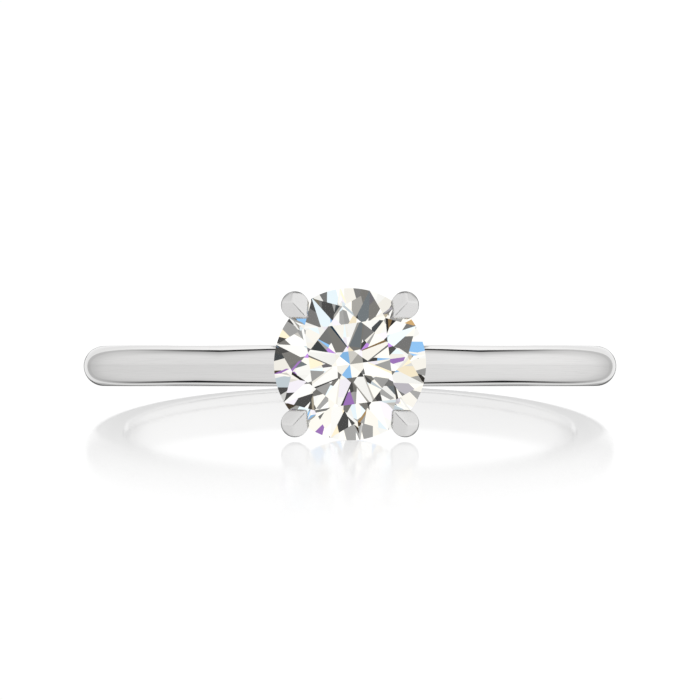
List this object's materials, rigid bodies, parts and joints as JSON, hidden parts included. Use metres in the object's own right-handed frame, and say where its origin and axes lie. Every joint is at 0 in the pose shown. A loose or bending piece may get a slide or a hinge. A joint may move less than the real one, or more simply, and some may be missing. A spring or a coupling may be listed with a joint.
{
  "type": "engagement ring",
  "caption": "Solitaire engagement ring: a slim rounded white-metal band carries a raised open claw head that holds a round brilliant-cut stone by pointed talon tips.",
  "frame": {"origin": "centre of the ring's bounding box: on the band's mid-plane, on the line from the middle of the finger hole to the stone, 1.9 mm from the finger hole's axis towards the stone", "axes": "+Z along the finger hole's axis, up as the ring lies on its side; -Y from the finger hole's axis to the stone, square to the stone's table; +X along the band to the right when the table is faced"},
  "size_m": [0.0208, 0.0246, 0.0056],
  "materials": {
    "shank_metal": "mirror-polished white precious metal with hairline wear",
    "claw_metal": "filed and softly polished white precious metal",
    "rail_metal": "polished white precious metal wire",
    "base_metal": "polished white precious metal",
    "solder": "polished white solder, a shade greyer and warmer than the metal",
    "diamond": "colourless round brilliant with sharp polished facets"
  },
  "bodies": {
    "root": {"shank": "shank_metal", "centre_stone": "diamond", "head_base": "base_metal", "solder_peg": "solder", "upper_gallery_rail": "rail_metal", "lower_gallery_rail": "rail_metal", "claw_top_right": "claw_metal", "claw_top_left": "claw_metal", "claw_bottom_left": "claw_metal", "claw_bottom_right": "claw_metal", "solder_foot_top_right": "solder", "solder_foot_top_left": "solder", "solder_foot_bottom_left": "solder", "solder_foot_bottom_right": "solder", "solder_upper_top_right": "solder", "solder_upper_top_left": "solder", "solder_upper_bottom_left": "solder", "solder_upper_bottom_right": "solder", "solder_lower_top_right": "solder", "solder_lower_top_left": "solder", "solder_lower_bottom_left": "solder", "solder_lower_bottom_right": "solder"}
  },
  "joints": []
}
